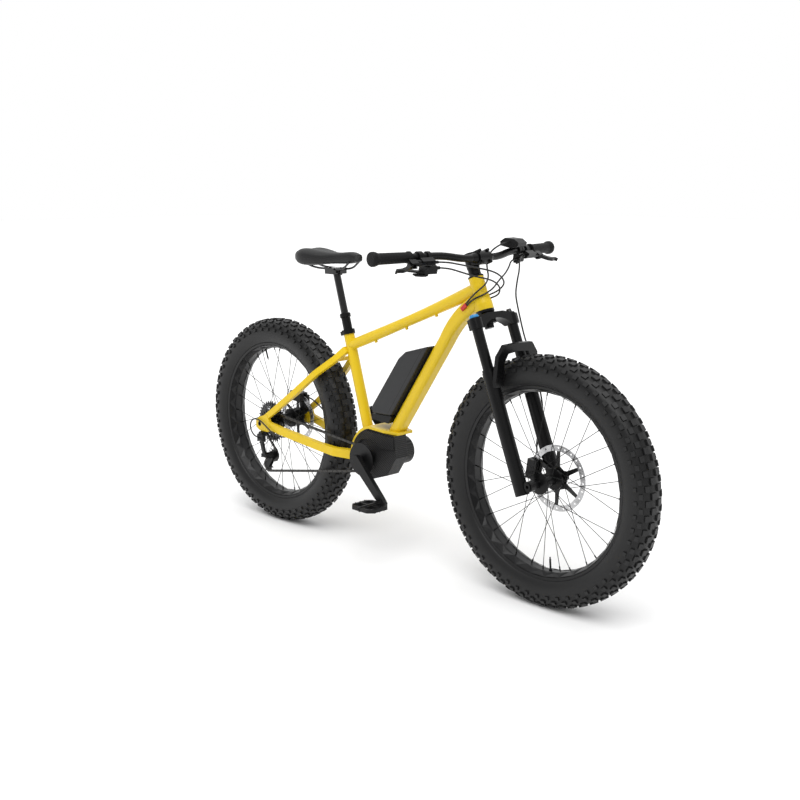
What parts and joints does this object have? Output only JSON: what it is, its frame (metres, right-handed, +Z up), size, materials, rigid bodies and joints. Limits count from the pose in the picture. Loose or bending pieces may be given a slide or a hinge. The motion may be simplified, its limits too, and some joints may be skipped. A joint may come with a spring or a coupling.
{
  "type": "fat tire electric bike",
  "caption": "Fat-tyre electric mountain bike with a rigid rear, suspension fork, mid motor, down-tube battery, disc brakes and a dropper seat post.",
  "frame": {"origin": "on the ground, midway between the two wheel axles", "axes": "+X forwards, +Y to the rider's left, +Z up"},
  "size_m": [1.9558, 0.8038, 1.0589],
  "materials": {
    "frame_paint": "satin yellow paint",
    "black_metal": "satin black anodised metal",
    "black_plastic": "matte black plastic",
    "battery_case": "dark grey moulded plastic",
    "tyre_rubber": "matte tyre rubber",
    "grip_rubber": "soft black rubber",
    "saddle_cover": "black synthetic cover",
    "bright_steel": "brushed steel",
    "dark_steel": "dark steel",
    "rail_steel": "dark steel tube",
    "cap_metal": "anodised aluminium",
    "crank_alloy": "forged dark aluminium",
    "hose": "black cable housing"
  },
  "bodies": {
    "frame": {"head_tube": "frame_paint", "headset_cups": "black_metal", "motor_cradle": "frame_paint", "seat_tube": "frame_paint", "down_tube": "frame_paint", "top_tube": "frame_paint", "chainstays": "frame_paint", "seatstays": "frame_paint", "seat_clamp": "black_metal", "dropper_outer_tube": "black_metal", "motor_housing": "black_plastic", "battery_dock": "black_plastic", "rear_axle": "black_metal", "rear_brake_caliper": "black_metal", "derailleur_mount": "black_metal", "frame_cables": "hose", "chain": "dark_steel"},
    "battery": {"battery": "battery_case"},
    "steering": {"fork_crown": "black_metal", "fork_caps": "cap_metal", "stem": "black_metal", "handlebar": "black_metal", "grips": "grip_rubber", "right_brake_body": "black_metal", "left_brake_body": "black_metal", "shifter_body": "black_plastic", "dropper_remote": "black_plastic", "display_unit": "black_plastic", "control_cables": "hose"},
    "fork_lowers": {"fork_lowers": "black_metal", "front_axle": "black_metal", "front_brake_caliper": "black_metal"},
    "front_wheel": {"front_tyre": "tyre_rubber", "front_rim": "black_metal", "front_spokes": "dark_steel", "front_hub": "black_metal", "front_brake_rotor": "bright_steel"},
    "rear_wheel": {"rear_tyre": "tyre_rubber", "rear_rim": "black_metal", "rear_spokes": "dark_steel", "rear_hub": "black_metal", "rear_brake_rotor": "bright_steel"},
    "cassette": {"cassette": "dark_steel"},
    "crank": {"crank_set": "crank_alloy"},
    "chainring": {"chainring": "black_metal"},
    "right_pedal": {"right_pedal": "black_metal"},
    "left_pedal": {"left_pedal": "black_metal"},
    "right_brake_lever": {"right_brake_lever": "black_metal"},
    "left_brake_lever": {"left_brake_lever": "black_metal"},
    "shift_push": {"shift_push_paddle": "black_plastic"},
    "shift_release": {"shift_release_paddle": "black_plastic"},
    "dropper_paddle": {"dropper_paddle": "black_plastic"},
    "saddle": {"dropper_inner_tube": "black_metal", "saddle_rails": "rail_steel", "saddle": "saddle_cover"},
    "derailleur_link": {"derailleur_link": "black_metal"},
    "derailleur_knuckle": {"derailleur_knuckle": "black_metal"},
    "derailleur_cage": {"derailleur_cage": "black_metal"},
    "guide_pulley": {"guide_pulley": "black_plastic"},
    "tension_pulley": {"tension_pulley": "black_plastic"}
  },
  "joints": [
    {"name": "steering_turn", "type": "hinge", "parent": "frame", "child": "steering", "pos_m": [0.33681, 0, 0.91104], "axis": [-0.3633, 0, 0.9317], "range_deg": [-50, 50], "deforming": ["control_cables"]},
    {"name": "fork_travel", "type": "slide", "parent": "steering", "child": "fork_lowers", "axis": [-0.3633, 0, 0.9317], "range_m": [0, 0.1], "stiffness_N_per_m": 5000, "springref_m": -0.03, "deforming": ["control_cables"]},
    {"name": "front_wheel_spin", "type": "hinge", "parent": "fork_lowers", "child": "front_wheel", "pos_m": [0.606, 0, 0.372], "axis": [0, 1, 0], "continuous": true},
    {"name": "rear_wheel_spin", "type": "hinge", "parent": "frame", "child": "rear_wheel", "pos_m": [-0.606, 0, 0.372], "axis": [0, 1, 0], "continuous": true},
    {"name": "crank_spin", "type": "hinge", "parent": "frame", "child": "crank", "pos_m": [-0.106, 0, 0.323], "axis": [0, 1, 0], "continuous": true, "deforming": ["chain"]},
    {"name": "chainring_spin", "type": "hinge", "parent": "frame", "child": "chainring", "pos_m": [-0.106, 0, 0.323], "axis": [0, 1, 0], "continuous": true, "deforming": ["chain"]},
    {"name": "cassette_spin", "type": "hinge", "parent": "frame", "child": "cassette", "pos_m": [-0.606, 0, 0.372], "axis": [0, 1, 0], "continuous": true, "deforming": ["chain"]},
    {"name": "right_pedal_spin", "type": "hinge", "parent": "crank", "child": "right_pedal", "pos_m": [0.01773, -0.15, 0.20352], "axis": [0, 1, 0], "continuous": true},
    {"name": "left_pedal_spin", "type": "hinge", "parent": "crank", "child": "left_pedal", "pos_m": [-0.22973, 0.15, 0.44248], "axis": [0, 1, 0], "continuous": true},
    {"name": "right_brake_pull", "type": "hinge", "parent": "steering", "child": "right_brake_lever", "pos_m": [0.33347, -0.28383, 1.00019], "axis": [-0.523, 0.0888, -0.8477], "range_deg": [0, 16], "stiffness_Nm_per_rad": 0.6, "springref_deg": -17.19},
    {"name": "left_brake_pull", "type": "hinge", "parent": "steering", "child": "left_brake_lever", "pos_m": [0.33347, 0.28383, 1.00019], "axis": [0.523, 0.0888, 0.8477], "range_deg": [0, 16], "stiffness_Nm_per_rad": 0.6, "springref_deg": -17.19},
    {"name": "shift_push_turn", "type": "hinge", "parent": "steering", "child": "shift_push", "pos_m": [0.31184, -0.20418, 0.96894], "axis": [0.3376, -0.0589, 0.9395], "range_deg": [0, 20], "stiffness_Nm_per_rad": 0.2, "springref_deg": -17.19},
    {"name": "shift_release_turn", "type": "hinge", "parent": "steering", "child": "shift_release", "pos_m": [0.31184, -0.20418, 0.96894], "axis": [0.3376, -0.0589, 0.9395], "range_deg": [0, 12], "stiffness_Nm_per_rad": 0.2, "springref_deg": -17.19},
    {"name": "dropper_paddle_turn", "type": "hinge", "parent": "steering", "child": "dropper_paddle", "pos_m": [0.30986, 0.20694, 0.97827], "axis": [-0.1374, -0.0265, -0.9902], "range_deg": [0, 15], "stiffness_Nm_per_rad": 0.2, "springref_deg": -17.19},
    {"name": "dropper_travel", "type": "slide", "parent": "frame", "child": "saddle", "axis": [0.284, 0, -0.9588], "range_m": [0, 0.12], "stiffness_N_per_m": 300, "springref_m": -0.3},
    {"name": "derailleur_swing", "type": "hinge", "parent": "frame", "child": "derailleur_link", "pos_m": [-0.59, -0.113, 0.318], "axis": [1, 0, 0], "range_deg": [-18, 15], "deforming": ["chain"]},
    {"name": "derailleur_level", "type": "hinge", "parent": "derailleur_link", "child": "derailleur_knuckle", "pos_m": [-0.579, -0.107, 0.258], "axis": [1, 0, 0], "range_deg": [-15, 18]},
    {"name": "cage_turn", "type": "hinge", "parent": "derailleur_knuckle", "child": "derailleur_cage", "pos_m": [-0.577, -0.0663, 0.256], "axis": [0, 1, 0], "range_deg": [-20, 20], "deforming": ["chain"]},
    {"name": "guide_pulley_spin", "type": "hinge", "parent": "derailleur_knuckle", "child": "guide_pulley", "pos_m": [-0.577, -0.0663, 0.256], "axis": [0, 1, 0], "continuous": true, "deforming": ["chain"]},
    {"name": "tension_pulley_spin", "type": "hinge", "parent": "derailleur_cage", "child": "tension_pulley", "pos_m": [-0.60935, -0.0663, 0.21202], "axis": [0, 1, 0], "continuous": true, "deforming": ["chain"]},
    {"name": "battery_tilt", "type": "hinge", "parent": "frame", "child": "battery", "pos_m": [-0.08836, 0, 0.47808], "axis": [0, -1, 0], "range_deg": [0, 8]}
  ],
  "couplings": [
    {"joint": "chainring_spin", "follows": "crank_spin", "ratio": 2.5},
    {"joint": "cassette_spin", "follows": "crank_spin", "ratio": 2.381},
    {"joint": "guide_pulley_spin", "follows": "crank_spin", "ratio": -4.5455},
    {"joint": "tension_pulley_spin", "follows": "crank_spin", "ratio": 4.5455},
    {"joint": "derailleur_level", "follows": "derailleur_swing", "ratio": -1}
  ]
}
